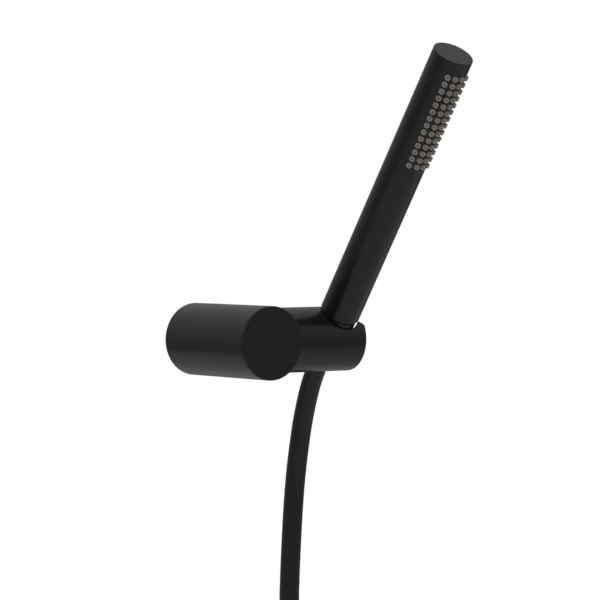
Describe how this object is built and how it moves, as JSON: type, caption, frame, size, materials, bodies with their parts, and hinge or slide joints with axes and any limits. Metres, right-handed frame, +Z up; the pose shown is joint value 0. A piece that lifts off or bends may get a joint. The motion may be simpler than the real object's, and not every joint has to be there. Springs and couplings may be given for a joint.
{
  "type": "hand shower on wall holder",
  "caption": "Straight round hand shower leaning in the drilled end of a swivelling round arm on a wall post, with its hose hanging from the socket and the rest of it coiled.",
  "frame": {"origin": "centre of the post's rear end, on the wall's surface", "axes": "+Z up, the wall is the plane y = 0 and the room is toward -Y, +X along the arm to its socket end"},
  "size_m": [0.1883, 0.2001, 0.6645],
  "materials": {
    "matt_black": "satin matt black powder coat on brass",
    "steel": "stainless steel, turned",
    "brass": "machined brass",
    "nylon": "natural nylon",
    "acetal": "black acetal",
    "silicone": "warm grey silicone",
    "rubber": "black EPDM",
    "hose_pvc": "smooth black PVC",
    "limiter": "green acetal"
  },
  "bodies": {
    "bracket": {"wall_plate": "steel", "post_body": "matt_black", "post_grub_screw": "steel", "swivel_spindle": "steel", "spindle_washer": "steel", "spindle_nut": "steel", "hose_tube": "hose_pvc", "hose_coil": "hose_pvc", "hose_end": "hose_pvc", "coil_tie": "rubber", "far_fitting": "steel", "far_nut": "matt_black", "far_washer": "rubber"},
    "holder": {"arm": "matt_black", "friction_bush": "nylon", "arm_grub_screw": "steel", "cone_liner": "acetal", "wand_body": "matt_black", "nozzle_mat": "silicone", "spray_chamber": "nylon", "inlet_connector": "brass", "connector_oring": "rubber", "check_valve": "nylon", "flow_limiter": "limiter", "hose_cone_nut": "matt_black", "hose_washer": "rubber", "hose_fitting": "steel"}
  },
  "joints": [
    {"name": "holder_tilt", "type": "hinge", "parent": "bracket", "child": "holder", "pos_m": [0.0278, -0.055, 0], "axis": [1, 0, 0], "range_deg": [-35, 20], "deforming": ["hose_tube"]}
  ]
}
